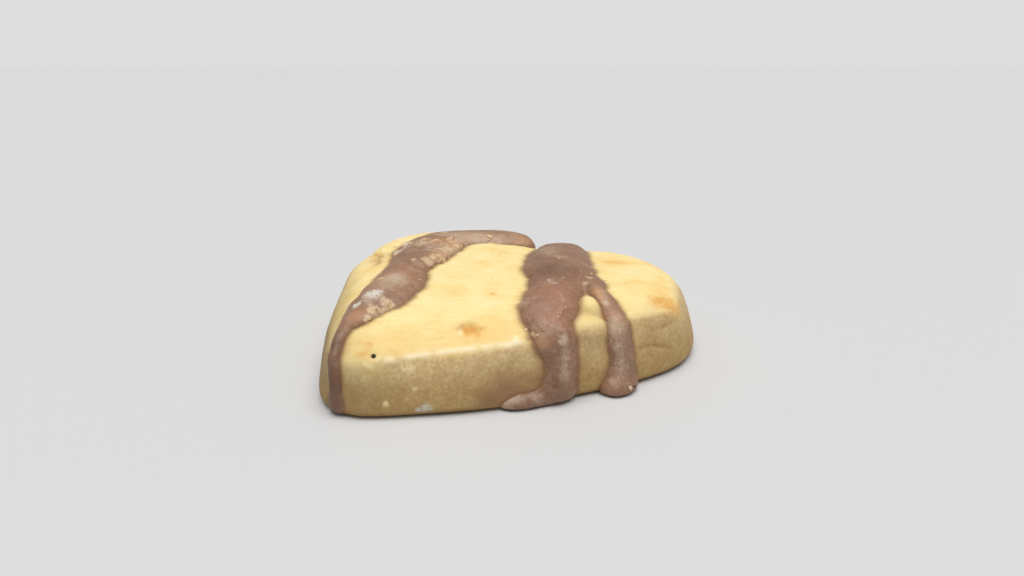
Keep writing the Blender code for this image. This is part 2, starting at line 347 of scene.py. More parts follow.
dough = {
    "nodules": (  # (x, y, z, long, short, high): clusters of bits that stand on the rim
        (-20.3, 0.7, 12.2, 1.0, 0.9, 0.6),
        (-19.4, -0.9, 12.1, 0.9, 0.8, 0.6),
        (-16.4, -2.2, 12.5, 1.1, 0.8, 0.6),
        (-15.2, -3.8, 12.4, 0.8, 0.7, 0.5),
    ),
    "bitsInNodule": 4,
    "bitSize": (0.5, 0.8),
    "seed": 5,
    "domes": (  # (x, y, z, across, along, height): dough that swells up between the trails
        (22.0, -2.1, 11.3, 1.1, 1.5, 1.05),
        (23.7, -4.5, 9.2, 1.6, 1.2, 1.05),
    ),
    "pits": (  # (x, y, z, across, along, depth)
        (12.1, -16.0, 10.7, 1.3, 0.7, 0.35),
        (11.0, -16.6, 10.5, 0.5, 0.6, 0.3),
        (13.3, -15.7, 10.6, 0.5, 0.5, 0.25),
        (-21.5, 0.2, 11.6, 0.5, 0.8, 0.35),
        (-17.9, -1.8, 12.1, 0.5, 0.7, 0.4),
        (4.1, -25.9, 8.2, 0.4, 0.4, 0.3),
        (-18.0, -3.0, 11.9, 0.6, 0.7, 0.4),
    ),
    "lines": (  # (line of places, height, width): folds, and cracks where the height is below 0
        (((28.3, 1.9, 5.3), (29.2, 3.9, 5.4), (30.0, 5.4, 4.8), (30.6, 7.2, 4.1)), -0.22, 0.28),
        (((27.9, -0.4, 8.2), (28.6, 1.4, 7.8), (28.9, 2.4, 7.2)), -0.14, 0.28),
        (((28.9, 3.9, 7.5), (29.8, 6.1, 7.7), (30.2, 9.0, 8.0)), -0.1, 0.3),
        (((-20.9, -0.9, 11.7), (-18.9, -1.6, 12.0), (-17.2, -2.7, 12.1)), -0.2, 0.28),
        (((16.9, 12.6, 12.6), (20.2, 10.8, 12.5), (22.8, 10.4, 12.3), (24.2, 8.0, 12.2)), 0.16, 1.1),
        (((22.4, 5.6, 12.4), (25.2, 4.4, 11.5), (27.0, 5.4, 10.8)), 0.14, 0.9),
        (((10.7, -17.0, 10.4), (11.2, -15.9, 10.9), (12.4, -15.2, 11.1)), -0.16, 0.26),
        (((13.1, -15.9, 10.7), (14.0, -15.2, 10.8), (14.6, -14.2, 10.8)), -0.12, 0.24),
    ),
    "torn": (  # the raised lip round the burst bubble
        (11.2, -16.7, 10.4, 0.35, 0.8, 0.35),
        (11.6, -14.4, 11.3, 1.1, 0.45, 0.25),
        (13.4, -14.6, 10.9, 0.6, 0.6, 0.2),
        (17.4, -13.3, 9.2, 0.45, 0.5, 0.3),
        (16.9, -14.3, 8.4, 0.35, 0.35, 0.2),
    ),
    "wallSteepness": (0.15, 0.5),  # where the top's look turns into the wall's
    "rimSteepness": (0.04, 0.3),
    "undersideSlope": (0.2, 0.6),
    "lowShadeBetween": (8.0, 3.0),  # heights between which the wall gets duller: painted shade, darker towards the base
    "crumbSizes": (1.0, 0.5),
    "crumbHeight": 0.02,
    "topCrumbShare": 0.6,
    "wallCrumbHeight": 0.06,
    "raggedness": 0.6,  # how much the crumb breaks up an edge
    "streakSize": 0.55,
    "streakLength": 4.0,
    "streakRise": 0.5,
    "swellSize": 3.2,
    "swellHeight": 0.06,
    "crest": (  # the torn line along the near rim
        (5.6, -25.0, 7.7),
        (7.0, -23.9, 7.9),
        (9.7, -21.4, 8.3),
        (12.4, -18.7, 8.5),
        (15.2, -15.9, 8.7),
        (17.9, -13.2, 9.0),
    ),
    "crestHeight": 0.12,
    "crestWidth": 0.38,
    "crestRaggedness": 0.8,
    "crestGapSize": 1.3,
    "crestGaps": (-0.5, 0.3),
    "crestShare": 0.1,  # more leaves fewer gaps
    # painted highlight along the crest, over its pale crumbs
    "crestCreamAndHighlight": 0.8,
    # painted shade down the cracks
    "crackShade": 0.4,
    "stainStrength": 0.5,  # along the icing's edges
    "stainReach": 1.1,
    "veilStrength": 0.85,
    "veilReach": 0.5,
    "mostVeil": 0.9,
    "toast": (  # (x, y, z, across, along, strength) of what the oven browned; the two rows by the left rim also paint shade round its nodules
        (12.1, -15.9, 10.8, 1.5, 0.8, 0.8),
        (11.1, -16.4, 10.7, 0.5, 0.5, 0.8),
        (12.9, -16.4, 10.3, 2.4, 1.6, 0.4),
        (13.8, -15.0, 10.9, 0.5, 0.4, 0.8),
        (9.9, -8.0, 12.6, 0.8, 1.0, 0.55),
        (28.2, 7.6, 10.6, 2.4, 1.8, 0.6),
        (29.6, 10.2, 9.2, 2.4, 2.4, 0.5),
        (16.6, 16.6, 12.4, 3.6, 1.5, 0.6),
        (22.0, 22.0, 11.5, 3.4, 2.4, 0.5),
        # painted shade round the rim's nodules, over browning
        (-20.6, -1.6, 11.8, 2.6, 1.6, 0.4),
        (-16.4, -3.2, 12.2, 1.6, 1.0, 0.4),
        (-8.6, -22.0, 10.6, 1.6, 3.0, 0.4),
        (2.7, -25.3, 9.2, 0.8, 0.9, 0.5),
        (2.7, -26.5, 8.2, 1.3, 0.4, 0.6),
        (6.0, -24.2, 8.9, 2.5, 1.0, 0.42),
        (11.5, -20.0, 9.0, 3.5, 1.2, 0.36),
        (17.6, -17.3, 1.0, 1.8, 1.2, 0.35),
        (21.5, -11.4, 9.6, 1.6, 1.0, 0.3),
    ),
    "warm": (  # soft golden patches
        (14.9, -13.9, 10.2, 3.2, 2.2, 0.7),
        (17.0, -10.5, 10.8, 1.6, 1.4, 0.5),
        (12.9, -16.6, 10.2, 3.4, 1.4, 0.5),
        (19.6, 10.2, 12.5, 3.2, 1.0, 0.35),
        (24.2, 6.6, 12.1, 1.4, 1.8, 0.35),
        (4.4, -24.4, 9.4, 3.0, 1.6, 0.5),
        (8.0, -21.5, 9.9, 4.0, 1.4, 0.25),
        (29.0, 9.0, 10.0, 4.5, 4.0, 0.5),
        (18.0, 18.0, 12.0, 6.0, 2.4, 0.5),
        (9.9, -8.0, 12.6, 1.4, 1.6, 0.5),
        (-19.0, -1.0, 12.0, 3.0, 2.2, 0.45),
        (-9.5, -20.0, 10.8, 2.0, 5.0, 0.35),
    ),
    "pale": (
        (8.3, -23.6, 6.8, 0.7, 0.5, 0.8),
        (7.5, -24.2, 6.7, 0.4, 0.4, 0.7),
        (6.4, -26.4, 2.3, 0.5, 0.5, 0.7),
        (9.0, -23.7, 4.1, 0.5, 0.3, 0.7),
        (4.4, -26.6, 7.1, 0.6, 0.3, 0.7),
        (3.6, -27.0, 7.4, 0.4, 0.3, 0.6),
        (4.0, -27.2, 5.4, 0.9, 0.35, 0.6),
        (6.6, -24.5, 7.7, 0.9, 0.4, 0.6),
        (16.7, -15.0, 7.4, 0.5, 0.5, 0.5),
        (20.0, -11.9, 7.6, 0.6, 0.6, 0.3),
        (22.6, -2.8, 11.6, 1.0, 0.8, 0.25),
        (24.0, -4.6, 9.9, 1.4, 0.8, 0.3),
    ),
    "cream": (  # torn edges that stayed almost white, and painted highlights on the rim's nodules
        (11.0, -16.9, 10.4, 0.25, 0.7, 0.9),
        (17.4, -13.3, 9.3, 0.45, 0.5, 0.9),
        (16.9, -14.3, 8.4, 0.35, 0.35, 0.7),
        (-20.4, 0.8, 12.6, 0.45, 0.7, 0.9),
        (-19.6, -0.8, 12.6, 0.35, 0.5, 0.8),
        (-16.5, -2.0, 12.9, 0.5, 0.6, 0.7),
        (4.6, -25.9, 8.4, 0.7, 0.3, 0.6),
    ),
    "stainAndShadeSpots": (  # where grease and icing soaked in, and painted shade in the hollows round the rim's nodules and between the domes
        (-17.8, -2.6, 12.1, 1.5, 1.8, 0.8),
        (-21.3, -0.4, 11.6, 0.6, 1.2, 0.6),
        (-15.6, -5.0, 12.2, 0.9, 1.2, 0.6),
        (-19.8, 3.4, 12.3, 0.6, 0.8, 0.4),
        (22.8, -3.2, 10.4, 2.2, 2.4, 0.22),
        (22.8, -3.3, 10.4, 1.5, 0.4, 0.35),
        (29.2, 4.4, 6.6, 3.4, 4.0, 0.3),
    ),
    "softRim": (  # where the top's colour runs down over a rounded rim
        (1.4, -27.3, 7.4, 2.4, 1.8, 0.85),
        (4.4, -26.5, 7.1, 1.8, 1.4, 0.5),
    ),
    "sugar": (  # bluish white smears by the base
        (10.2, -23.1, 1.3, 1.2, 1.0, 0.52),
        (9.6, -23.9, 1.0, 0.6, 0.6, 0.4),
        (16.6, -18.0, 2.2, 1.5, 0.8, 0.3),
    ),
    "shade": (  # painted shade, with some browning: where the wall and its rim are darker
        (-28.0, -2.0, 6.0, 8.0, 14.0, 0.4),
        (-20.0, -14.0, 5.0, 7.0, 9.0, 0.3),
        (-6.0, -25.8, 6.0, 6.0, 9.0, 0.62),
        (-12.0, -18.0, 9.0, 3.5, 9.0, 0.3),
        (3.5, -27.5, 4.0, 4.0, 3.0, 0.3),
    ),
    "veil": (  # icing so thin that the dough shows through
        (18.4, -15.0, 3.0, 3.2, 1.5, 0.7),
        (16.4, -17.7, 1.8, 2.0, 1.4, 0.7),
        (20.3, -11.9, 4.0, 1.0, 3.0, 0.45),
        (20.1, -11.8, 8.4, 1.1, 1.4, 0.5),
        (25.9, -3.6, 2.2, 1.0, 1.6, 0.5),
    ),
}


def lineDistance(places, line):  # distance of each place to a line of points
    nearest = np.full(len(places), np.inf)
    for first, second in zip(line, line[1:]):
        a, b = np.array(first), np.array(second)
        t = np.clip((places - a) @ (b - a) / ((b - a) @ (b - a)), 0, 1)
        nearest = np.minimum(nearest, np.linalg.norm(places - a - t[:, None] * (b - a), axis=1))
    return nearest


noduleBits = {"spread": 0.7, "roughness": 0.6, "facets": 1}  # for the dough's and the icing's alike


def addNodules(bm, piece):
    random.seed(piece["seed"])
    for x, y, z, *size in piece["nodules"]:
        for _ in range(piece["bitsInNodule"]):
            shift = Vector([random.uniform(-1, 1) * half for half in size])
            bit = [half * random.uniform(*piece["bitSize"]) for half in size]
            where = Vector((x, y, z)) + shift * noduleBits["spread"]
            lump(bm, where, bit, random.uniform(0, math.pi), noduleBits["roughness"], noduleBits["facets"])


def drawnOut(places, length, rise):  # places squeezed across the view, so that noise over them is streaky
    flat = places[:, :2]
    return np.column_stack((flat @ acrossView / length, flat @ alongView, places[:, 2] * rise))


def makeDough(plain, surface):
    bm = plain.copy()
    addNodules(bm, dough)
    fine = remeshed("dough", bm, heart["voxel"])
    places, normals = arrayOf(fine)
    steepness = np.array([1 - surface.find_nearest(Vector(p))[1].z for p in places])  # of the plain heart
    wall = softStep(*dough["wallSteepness"], steepness)
    under = softStep(*dough["undersideSlope"], -normals[:, 2])
    coarse, small = dough["crumbSizes"]
    crumb = noiseOver(places, coarse) * 0.5 + noiseOver(places, small, shift=7.0) * 0.5
    drawn = drawnOut(places, dough["streakLength"], dough["streakRise"])
    streaks = noiseOver(drawn, dough["streakSize"], shift=3.0)
    relief = dough["crumbHeight"] * (crumb * dough["topCrumbShare"] + streaks * (1 - wall))
    relief += dough["wallCrumbHeight"] * crumb * wall
    relief += dough["swellHeight"] * noiseOver(places, dough["swellSize"], shift=11.0)
    relief -= spots(places, dough["pits"]) * (1 + dough["raggedness"] * crumb)
    relief += np.clip(spots(places, dough["torn"]), 0, 1) * (1 + crumb)
    swollen = np.zeros(len(places))
    for *where, height in dough["domes"]:
        swollen = np.maximum(swollen, height * (1 - (1 - spots(places, [(*where, 1.0)])) ** 2))
    relief += swollen
    crack = np.zeros(len(places))
    for line, height, width in dough["lines"]:
        nearness = np.exp(-((lineDistance(places, line) / width) ** 2))
        relief += height * nearness * (1 + crumb)
        if height < 0:
            crack = np.maximum(crack, nearness)
    crest = np.exp(-((lineDistance(places, dough["crest"]) / dough["crestWidth"]) ** 2))
    gaps = noiseOver(places, dough["crestGapSize"], shift=17.0)
    crest *= softStep(*dough["crestGaps"], gaps + dough["crestShare"])
    relief += dough["crestHeight"] * crest * (1 + dough["crestRaggedness"] * crumb)
    setPlaces(fine, places + normals * (relief * (1 - under))[:, None])
    print("dough:", len(fine.faces), "faces")
    # painted shade, darker low on the wall
    low = softStep(*dough["lowShadeBetween"], places[:, 2]) * wall
    rim = softStep(*dough["rimSteepness"], steepness)
    data = {"wall": wall, "under": under, "low": low, "rim": rim, "crest": crest, "crack": crack, "crumb": crumb}
    return fine, data


# Places that each trail runs over: (x, y, z, half width, thickness)
lobeTrail = (
    (-4.5, 20.7, 12.0, 3.0, 2.1),
    (-6.5, 20.2, 12.0, 4.2, 1.8),
    (-11.0, 18.2, 12.0, 4.9, 1.5),
    (-14.8, 12.6, 12.2, 5.7, 1.3),
    (-13.2, 5.0, 12.4, 5.8, 1.4),
    (-10.0, -1.0, 12.4, 5.0, 1.5),
    (-7.7, -6.8, 12.3, 3.8, 1.5),
    (-5.0, -11.6, 12.2, 4.5, 1.5),
    (-3.4, -15.8, 11.8, 4.8, 1.5),
    (-3.0, -19.6, 11.2, 4.1, 1.4),
    (-2.6, -22.4, 10.5, 3.2, 1.2),
    (-2.6, -24.4, 9.8, 1.6, 1.0),
    (-1.9, -26.2, 8.9, 1.1, 1.0),
    (-0.9, -27.6, 7.4, 1.1, 0.9),
    (-0.1, -28.7, 5.4, 1.1, 0.8),
    (0.2, -29.1, 3.4, 1.3, 0.8),
    (0.1, -29.2, 1.6, 2.0, 0.7),
)
mainTrail = (
    (3.4, 25.0, 6.6, 2.6, 0.9),
    (3.7, 23.4, 10.0, 3.4, 1.3),
    (4.8, 19.4, 12.2, 4.3, 1.4),
    (8.3, 12.4, 12.9, 5.2, 1.6),
    (12.4, 5.8, 13.1, 5.6, 1.6),
    (14.9, 2.6, 13.0, 5.2, 1.5),
    (16.4, -2.0, 12.6, 4.2, 1.4),
    (17.9, -5.6, 12.0, 4.1, 1.4),
    (19.2, -8.2, 10.8, 3.8, 1.3),
    (20.7, -9.2, 9.0, 3.2, 1.3),
    (21.6, -9.0, 6.8, 2.6, 1.3),
    (21.9, -9.2, 4.2, 2.6, 1.3),
    (21.7, -9.6, 1.8, 3.1, 1.3),
)
sideTrail = (
    (15.4, 5.4, 13.0, 3.0, 1.1),
    (18.6, 3.6, 12.7, 2.6, 1.2),
    (21.2, 1.6, 12.1, 1.7, 1.1),
    (23.3, 0.4, 11.5, 1.6, 1.0),
    (25.1, -0.6, 10.3, 1.9, 1.1),
    (26.0, -1.0, 8.8, 2.1, 1.1),
    (26.5, -1.2, 6.6, 2.1, 1.1),
    (26.9, -1.3, 4.2, 2.3, 1.1),
    (27.0, -1.5, 1.8, 2.8, 1.1),
)
icing = {
    "trails": (lobeTrail, mainTrail, sideTrail),
    "feet": (  # (x, y, turn in degrees, long, short, high)
        (0.2, -27.8, 6.0, 2.8, 1.4, 1.5),
        (19.7, -12.1, 56.0, 5.4, 1.7, 1.8),
        (27.0, -2.1, 64.0, 3.1, 2.4, 2.1),
    ),
    "station": 0.35,
    "pointsAcross": 22,
    "flatness": 2.5,
    "depth": 1.2,
    "edgeDepth": 0.15,
    "edgeRoundness": 0.85,
    "endAngles": (15, 30, 45, 60, 75),
    "footSink": 0.4,
    "footRoughness": 0.12,
    "footFacets": 3,
    "clearance": 0.1,
    "leastHeight": 0.05,
    "voxel": 0.22,
    "edgeWander": 0.4,
    "edgeRipples": (  # (length, shift of the noise from one edge to the other, height)
        (2.6, 5.0, 1.0),
        (1.1, 8.0, 0.5),
        (0.5, 11.0, 0.6),
    ),
    "trailShift": 9.0,  # no two trails ripple alike
    "swellSize": 2.6,
    "swellHeight": 0.10,
    "skinSize": 0.9,
    "skinHeight": 0.05,
    "brushSize": 0.5,
    "brushLength": 3.5,
    "brushHeight": 0.05,
    "nodules": (  # (x, y, z, long, short, high): bits of crust that stand on the skin
        (-5.8, -3.9, 14.1, 1.0, 0.7, 0.55),
        (-6.3, -1.6, 14.1, 0.9, 0.7, 0.5),
        (-4.8, -4.1, 13.8, 0.6, 0.5, 0.5),
        (-5.2, -1.2, 13.6, 0.6, 0.5, 0.5),
        (-6.9, -5.8, 14.2, 0.5, 0.4, 0.3),
        (-14.9, -1.6, 13.1, 1.2, 0.6, 0.5),
        (-16.3, -0.7, 12.8, 0.6, 0.5, 0.4),
        (-16.6, 3.0, 13.6, 1.4, 0.6, 0.35),
        (-14.7, 5.7, 14.0, 0.8, 0.5, 0.3),
        (-12.5, 5.6, 14.1, 0.7, 0.5, 0.35),
        (-11.6, 8.5, 14.0, 0.8, 0.5, 0.4),
        (-8.5, 7.5, 13.4, 0.7, 0.6, 0.5),
        (-15.7, 11.8, 13.8, 0.8, 0.5, 0.3),
        (-8.0, 4.2, 13.7, 0.6, 0.5, 0.4),
        (-6.0, -13.9, 13.4, 0.6, 0.45, 0.3),
        (0.3, -19.0, 12.3, 0.8, 0.6, 0.6),
        (0.5, -19.7, 11.9, 0.5, 0.4, 0.4),
        (-0.3, -21.2, 12.2, 0.8, 0.3, 0.3),
        (0.1, -22.6, 11.3, 0.6, 0.4, 0.4),
        (18.9, -11.5, 9.9, 0.35, 0.35, 0.25),
        (17.6, 6.4, 13.4, 0.5, 0.4, 0.4),
        (19.1, 3.2, 13.6, 0.5, 0.4, 0.35),
        (19.3, 1.5, 13.3, 0.45, 0.4, 0.35),
    ),
    "bitsInNodule": 6,
    "bitSize": (0.3, 0.6),
    "seed": 8,
    "flakes": (  # (x, y, z, across, along, strength): white flakes, and painted highlights along thin ridges
        (-2.7, -18.2, 13.2, 1.0, 1.4, 0.8),
        (-3.7, -18.8, 12.9, 0.9, 0.8, 0.7),
        (-3.4, -21.2, 12.1, 0.7, 0.8, 0.8),
        (-15.0, -1.5, 13.2, 0.9, 0.8, 0.7),
        (-16.7, 3.1, 13.6, 1.1, 0.9, 0.7),
        (15.3, -1.9, 14.1, 0.3, 0.8, 0.5),
        (16.6, -2.2, 14.0, 0.7, 0.3, 0.45),
        (18.6, -15.0, 2.6, 0.8, 0.5, 0.4),
    ),
    "footBelow": 4.5,
    "footRounds": 40,
    "rough": (  # (x, y, z, across, along, strength): where the skin broke up into a crust
        (-12.8, 3.4, 13.6, 4.4, 4.0, 1.0),
        (-6.6, 0.6, 14.0, 2.2, 4.6, 1.0),
        (-9.6, 8.6, 13.6, 3.4, 4.0, 0.8),
        (-2.6, -19.5, 12.8, 2.6, 2.4, 0.8),
        (0.2, -20.4, 12.2, 1.2, 1.6, 0.8),
        (18.8, -11.2, 10.2, 1.2, 1.2, 0.9),
        (17.6, 4.6, 13.9, 1.6, 2.2, 0.5),
    ),
    "roughHeight": 0.34,
    "roughSize": 1.2,
    "roughGain": 1.6,  # more makes higher chunks
    "roughLevel": 0.4,
    "crustGain": 1.5,
    "crustLevel": 0.2,
    "roughCrust": 0.4,
    "roughBloom": 0.85,
    "mostBloom": 1.2,
    "dusting": 0.35,  # a thin bloom on what faces up
    "dustSize": 2.6,
    "dustPatches": (-0.1, 0.6),
    "dustSlope": (-0.1, 0.7),
    "coverDepth": 0.55,  # where the icing is thick enough to hide the dough
    "coverWander": 0.08,
    "coverWanderSize": 0.6,
    "lines": (  # (line of places, height): thin ridges, and grooves where the height is below 0
        (((15.0, -2.6, 13.9), (15.4, -1.6, 14.0), (17.0, -2.2, 13.9)), 0.2),
        (((-17.6, 4.0, 13.3), (-15.4, -1.6, 13.0)), 0.2),
        (((20.5, -6.1, 12.2), (20.6, -7.1, 12.0), (20.6, -8.2, 11.5)), 0.16),
        (((16.2, 6.7, 14.1), (17.3, 6.1, 13.8)), 0.16),
        (((-13.2, -2.6, 13.4), (-11.1, -5.0, 13.9), (-6.8, -6.9, 14.3), (-4.3, -6.4, 13.9)), -0.22),
        (((-13.0, -1.6, 13.6), (-10.6, -4.0, 14.0), (-6.8, -5.8, 14.3), (-4.3, -5.4, 13.9)), 0.22),
        (((22.1, -11.2, 4.2), (22.4, -11.3, 2.8)), -0.5),
        (((-9.0, 15.2, 13.7), (-3.5, 18.0, 12.9)), -0.25),
        (((-5.9, -15.6, 13.4), (-3.6, -16.9, 13.5), (-1.3, -16.4, 13.5)), -0.16),
    ),
    "lineWidth": 0.4,
    "bloom": (  # pale dusty patches, and painted sheen down the drips
        (-4.0, -13.6, 13.8, 2.6, 2.9, 0.8),
        (-3.1, -18.3, 13.2, 1.8, 1.6, 0.5),
        (-2.0, -19.6, 13.0, 1.6, 1.6, 0.45),
        (-15.6, -1.2, 13.0, 1.4, 1.0, 0.8),
        (-16.8, 3.2, 13.5, 1.5, 1.2, 0.7),
        (-12.5, 2.8, 13.8, 2.8, 2.6, 0.5),
        (-10.0, 14.0, 13.5, 6.0, 3.0, 0.8),
        (-7.4, 3.4, 14.0, 2.6, 2.6, 0.6),
        (6.0, 11.4, 14.3, 3.0, 3.4, 0.5),
        (9.5, 8.0, 14.5, 2.4, 2.4, 0.25),
        (15.9, -2.2, 14.1, 0.7, 1.2, 0.5),
        (16.0, -7.4, 13.2, 1.6, 1.4, 0.4),
        (19.6, -10.0, 11.0, 1.2, 1.0, 0.3),
        (22.4, -9.6, 9.2, 0.8, 0.9, 0.8),
        (22.8, -9.9, 7.0, 0.75, 1.2, 0.7),
        (23.0, -10.1, 4.6, 0.8, 1.2, 0.7),
        (18.3, -15.2, 2.1, 1.6, 0.9, 0.85),
        (16.8, -17.0, 1.4, 1.4, 0.9, 0.8),
        (20.9, -13.0, 1.6, 1.2, 0.9, 0.5),
        (23.8, -0.7, 12.0, 0.5, 0.6, 0.8),
        (26.2, -2.0, 9.4, 1.4, 1.8, 0.8),
        (27.1, -2.5, 6.4, 1.1, 1.4, 0.6),
        (27.6, -2.6, 3.9, 1.2, 1.4, 0.65),
    ),
    "toffee": (  # thin and warm
        (-5.6, -0.6, 14.0, 1.8, 4.5, 0.8),
        (-8.3, 6.0, 13.6, 2.2, 4.0, 0.8),
        (-12.4, 4.6, 13.8, 3.4, 3.4, 0.4),
        (-9.0, 13.0, 13.6, 6.0, 5.0, 0.55),
        (-4.4, -13.4, 13.9, 3.4, 3.4, 0.4),
        (26.0, -2.0, 9.8, 1.6, 1.8, 0.45),
        (25.8, -1.0, 8.2, 1.0, 1.8, 0.3),
        (-2.8, 18.9, 12.6, 2.2, 2.0, 0.5),
        (-1.5, -23.2, 11.4, 1.6, 1.4, 0.5),
        (21.9, 0.4, 12.7, 1.1, 1.2, 0.85),
        (23.2, -0.6, 12.1, 1.0, 1.0, 0.7),
        (20.2, -11.8, 9.1, 1.1, 0.9, 0.6),
        (17.2, -16.6, 0.9, 1.2, 0.8, 0.5),
    ),
    "rosy": (  # redder brown
        (-4.6, -9.6, 14.1, 3.0, 3.4, 0.5),
        (-1.9, -23.0, 11.6, 2.0, 1.6, 0.5),
        (18.2, -4.4, 13.0, 3.4, 4.0, 0.65),
        (16.9, 3.6, 14.1, 2.6, 2.4, 0.4),
        (20.4, -8.6, 11.2, 2.0, 1.6, 0.6),
        (23.3, -8.8, 7.0, 0.7, 0.7, 0.4),
        (25.0, -1.0, 10.8, 1.2, 1.2, 0.6),
    ),
    "deep": (  # darker brown: painted shade on the icing down the walls and by the feet, and darker icing on the top
        (-0.6, -29.0, 5.0, 3.0, 3.0, 0.72),
        (-0.4, -29.6, 1.0, 3.5, 3.0, 0.4),
        (-1.6, -27.2, 9.0, 1.6, 1.8, 0.6),
        (13.8, 2.0, 14.4, 4.8, 3.6, 0.5),
        (5.6, 9.5, 14.0, 1.2, 6.0, 0.25),
        (22.6, -10.9, 2.6, 1.6, 1.2, 0.35),
        (19.4, -13.6, 1.2, 3.6, 1.4, 0.25),
    ),
}


def curveThrough(points, spacing):
    rows = []
    for span in range(len(points) - 1):
        count = max(1, round(math.dist(points[span][:3], points[span + 1][:3]) / spacing))
        for step in range(count):
            rows.append(splineRow(points, span, step / count))
    rows.append(list(points[-1]))
    return rows


def roundedEnds(rows):
    head, tail = [], []
    for angle in icing["endAngles"]:
        ahead = math.sin(math.radians(angle))
        narrowing = math.cos(math.radians(angle))
        for end, second, extra in ((rows[0], rows[1], head), (rows[-1], rows[-2], tail)):
            way = (Vector(end[:3]) - Vector(second[:3])).normalized()
            place = Vector(end[:3]) + way * end[3] * ahead
            extra.append([*place, end[3] * narrowing, end[4] * narrowing])
    return head[::-1] + rows + tail


def trailBody(bm, points, surface, number):
    rows = roundedEnds(curveThrough(points, icing["station"]))
    places = [Vector(row[:3]) for row in rows]
    loops = []
    for index, row in enumerate(rows):
        centre, normal = surface.find_nearest(places[index])[:2]
        along = places[min(index + 1, len(rows) - 1)] - places[max(index - 1, 0)]
        sideways = normal.cross(along).normalized()
        halfWidth, thickness = row[3:]
        distance = index * icing["station"]
        upper, lower = [], []
        for step in range(icing["pointsAcross"] + 1):
            across = math.sin(math.pi / 2 * (2 * step / icing["pointsAcross"] - 1))
            side = 1 if across > 0 else -1
            ripple = sum(
                height * noise.noise(Vector((distance / length, side * shift, number * icing["trailShift"])))
                for length, shift, height in icing["edgeRipples"]
            )
            reach = halfWidth + icing["edgeWander"] * ripple * min(1.0, halfWidth / 2)
            spot = centre + sideways * reach * across
            hit, outward = surface.find_nearest(spot)[:2]
            fullness = max(0.0, 1 - abs(across) ** icing["flatness"]) ** icing["edgeRoundness"]
            bulge = (thickness + icing["edgeDepth"]) * fullness - icing["edgeDepth"]
            upper.append(hit + outward * bulge)
            lower.append(hit - outward * icing["depth"])
        loops.append(ringEdges(bm, upper + lower[::-1]))
    for before, after in zip(loops, loops[1:]):
        bmesh.ops.bridge_loops(bm, edges=before + after)
    for end in (loops[0], loops[-1]):
        bmesh.ops.contextual_create(bm, geom=end)


def makeIcing(surface):
    bm = bmesh.new()
    for number, points in enumerate(icing["trails"]):
        trailBody(bm, points, surface, number)
    for x, y, turn, *size in icing["feet"]:
        where = Vector((x, y, icing["footSink"] * size[2]))
        lump(bm, where, size, math.radians(turn), icing["footRoughness"], icing["footFacets"])
    addNodules(bm, icing)
    bmesh.ops.triangulate(bm, faces=bm.faces)
    bmesh.ops.recalc_face_normals(bm, faces=bm.faces)
    for vert in bm.verts:
        vert.co.z = max(vert.co.z, icing["clearance"])
    fine = remeshed("icing", bm, icing["voxel"])
    for _ in range(icing["footRounds"]):
        smoothed(fine, [vert for vert in fine.verts if vert.co.z < icing["footBelow"]], 1)
    fine.normal_update()
    places, normals = arrayOf(fine)
    rough = np.clip(spots(places, icing["rough"]), 0, 1)
    chunks = noiseOver(places, icing["roughSize"], shift=41.0)
    chunks = chunks + 0.5 * noiseOver(places, icing["roughSize"] / 2, shift=43.0)
    relief = icing["swellHeight"] * noiseOver(places, icing["swellSize"], shift=21.0)
    relief += icing["skinHeight"] * noiseOver(places, icing["skinSize"], shift=5.0)
    drawn = drawnOut(places, icing["brushLength"], 1.0)
    relief += icing["brushHeight"] * noiseOver(drawn, icing["brushSize"], shift=9.0)
    relief += icing["roughHeight"] * rough * (np.abs(chunks) * icing["roughGain"] - icing["roughLevel"])
    for line, height in icing["lines"]:
        relief += height * np.exp(-((lineDistance(places, line) / icing["lineWidth"]) ** 2)) * (1 + chunks)
    places = places + normals * relief[:, None]
    places[:, 2] = np.maximum(places[:, 2], icing["leastHeight"])
    setPlaces(fine, places)
    print("icing:", len(fine.faces), "faces")
    crust = np.zeros(len(places))
    for x, y, z, long, *_ in icing["nodules"]:
        away = np.linalg.norm(places - (x, y, z), axis=1)
        crust = np.maximum(crust, np.exp(-((away / long) ** 2)))
    return fine, {"rough": rough * np.clip(chunks * icing["crustGain"] + icing["crustLevel"], 0, 1), "crust": crust}


